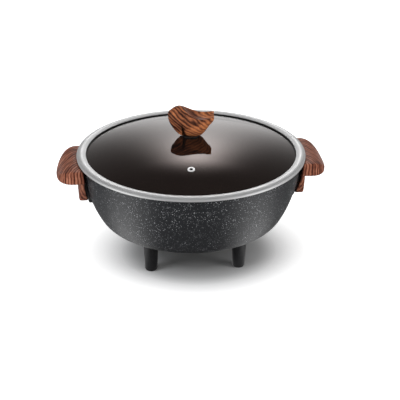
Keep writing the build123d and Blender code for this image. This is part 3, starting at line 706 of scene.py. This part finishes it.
def make_floor():
    """A white floor that keeps the pot's shadow, with a painted shadow in its colour close under the pot, and
    turns pure white further out.
    In reflections it glows with painted light to the left and right of the pot and behind it, dim in front of
    it, with painted shade close to it."""
    deselect()
    bpy.ops.mesh.primitive_plane_add(size=12, location=(0, 0, 0))
    floor = bpy.context.active_object
    floor.name = "floor"
    material, tree, shader = new_material("floor_white")
    shader.inputs["Roughness"].default_value = 0.9
    shader.inputs["Specular IOR Level"].default_value = 0.0
    path = add(tree, "ShaderNodeLightPath").outputs

    # What the camera sees: a painted shadow in the colour, darker close under the pot, and white further
    # away, from a glow for the camera that fades in away from the pot
    away = length(tree, moved(tree, place_of(tree), Location=(-0.010, 0.012, 0.0), Scale=(1.0, 1.08, 1.0)))
    # Painted shadow: the floor's colour is darker close under the pot
    out_of_painted_shadow = spread(tree, away, 0.05, 0.11)
    colour = ramp(tree, out_of_painted_shadow, [(0.0, (0.30, 0.30, 0.30)), (1.0, (0.80, 0.80, 0.80))])
    feed(tree, colour, shader.inputs["Base Color"])
    white = total(tree, spread(tree, away, 0.080, 0.138, high_to=0.45, smooth=True),
                  spread(tree, away, 0.115, 0.205, high_to=0.60, smooth=True))
    glow = add(tree, "ShaderNodeEmission", {
        "Color": WHITE, "Strength": product(tree, white, path["Is Camera Ray"])})
    plain = add(tree, "ShaderNodeAddShader", {0: shader.outputs[0], 1: glow.outputs[0]})

    # What glossy faces see: a painted reflection, where the floor glows at both sides and behind, by the turn
    # away from the front, and is dimmer close to the pot
    x, y, _ = axes(tree, place_of(tree))
    turn = unsigned(tree, total(tree, reckon(tree, "ARCTAN2", x, product(tree, y, -1.0)), -VIEW_TURN))
    off_side = unsigned(tree, less(tree, turn, math.radians(57)))
    sides = spread(tree, off_side, 0.0, math.radians(34), low_to=1.9, high_to=0.22, smooth=True)
    # Painted shade in the reflection: the glow is dimmer close to the pot
    far = spread(tree, length(tree, place_of(tree)), 0.09, 0.17, low_to=0.35, smooth=True)
    behind = spread(tree, turn, math.radians(115), math.radians(150), high_to=0.75, smooth=True)
    mirrored = add(tree, "ShaderNodeEmission", {
        "Color": WHITE, "Strength": total(tree, product(tree, sides, far), behind)})
    shown = add(tree, "ShaderNodeMixShader", {
        0: path["Is Glossy Ray"], 1: plain.outputs[0], 2: mirrored.outputs[0]})
    feed(tree, shown.outputs[0], tree.nodes["Material Output"].inputs["Surface"])
    floor.data.materials.append(material)


def make_world():
    """A white backdrop for the camera, a dim even light, and for reflections a soft window behind the pot."""
    world = bpy.data.worlds.new("studio")
    bpy.context.scene.world = world
    world.use_nodes = True
    tree = world.node_tree
    direction = add(tree, "ShaderNodeTexCoord").outputs["Generated"]
    across, back, up = axes(tree, moved(tree, direction, Rotation=(0, 0, -VIEW_TURN)))
    degree = 180 / math.pi
    side = product(tree, reckon(tree, "ARCTAN2", across, back), degree)
    rise = product(tree, reckon(tree, "ARCSINE", up), degree)

    def bell(value, centre, width):
        """A soft peak at an angle, which has fallen to about a third at its width away."""
        off = reckon(tree, "DIVIDE", less(tree, value, centre), width)
        return reckon(tree, "EXPONENT", product(tree, off, off, -1.0))

    def window_glow(strength, width, fade_down):
        """A soft patch behind the pot that fades quickly upwards and more slowly downwards."""
        top, bottom, aside, fade_up = 41.3, 38.0, 1.4, 6.2
        over = bell(reckon(tree, "MAXIMUM", rise, top), top, fade_up)
        under = bell(reckon(tree, "MINIMUM", rise, bottom), bottom, fade_down)
        return product(tree, over, under, bell(side, aside, width), strength)

    window = total(tree, window_glow(strength=2.95, width=8.0, fade_down=13.0),
                   window_glow(strength=2.1, width=10.5, fade_down=45.0))
    wall_strength = spread(tree, back, -0.6, 0.4, low_to=0.34, high_to=0.26)
    wall = product(tree, bell(rise, centre=0.0, width=30.0), wall_strength)
    strip_strength, dim_light = 1.7, 0.12
    strips = product(tree, bell(unsigned(tree, side), centre=102.0, width=17.0),
                     bell(rise, centre=5.0, width=22.0), strip_strength)
    mirrored = total(tree, window, strips, wall, dim_light)
    # The even light comes mostly from the camera's side, a little from above
    ahead = total(tree, product(tree, back, -0.94), product(tree, up, 0.34))
    fill = spread(tree, ahead, 0.0, 1.0, low_to=0.14, high_to=0.95)
    path = add(tree, "ShaderNodeLightPath").outputs
    strength = mix(tree, path["Is Glossy Ray"], fill, mirrored)
    strength = mix(tree, path["Is Camera Ray"], strength, WHITE)
    feed(tree, strength, tree.nodes["Background"].inputs["Color"])


def add_softbox(name, place, width, height, power, colour=(1, 1, 1)):
    """A rectangular softbox that looks at the pot's middle. The backdrop has the strips that mirror it."""
    deselect()
    bpy.ops.object.light_add(type="AREA", location=place)
    lamp = bpy.context.active_object
    lamp.name = name
    lamp.data.shape = "RECTANGLE"
    lamp.data.size = width
    lamp.data.size_y = height
    lamp.data.energy = power
    lamp.data.color = colour
    lamp.visible_glossy = False
    pot_middle = Vector((0, 0, 0.1))
    lamp.rotation_euler = (pot_middle - Vector(place)).to_track_quat("-Z", "Y").to_euler()


def make_camera():
    """The photograph's view: from a little to the left, looking down 25 degrees, set a little off centre."""
    camera = bpy.data.objects.new("camera", bpy.data.cameras.new("camera"))
    bpy.context.scene.collection.objects.link(camera)
    camera.data.sensor_width = 36.0
    camera.data.lens = 132.6
    camera.data.shift_x = 0.0225
    camera.data.clip_end = 100
    looking_down = 25.135
    place = Matrix.Translation((-0.1664, -1.8286, 0.9347))
    pitch = Matrix.Rotation(math.radians(90 - looking_down), 4, "X")
    camera.matrix_world = place @ Matrix.Rotation(VIEW_TURN, 4, "Z") @ pitch
    bpy.context.scene.camera = camera


make_floor()
make_world()
add_softbox("left_softbox", (-1.6, -0.8, 0.8), width=0.9, height=1.2, power=16.0, colour=(0.95, 0.97, 1.0))
add_softbox("right_softbox", (1.6, -0.8, 0.8), width=0.9, height=1.2, power=15.0)
add_softbox("top_softbox", (0.1, 0.5, 2.2), width=1.2, height=1.2, power=1.8)
make_camera()
bpy.context.scene.view_settings.view_transform = "Standard"
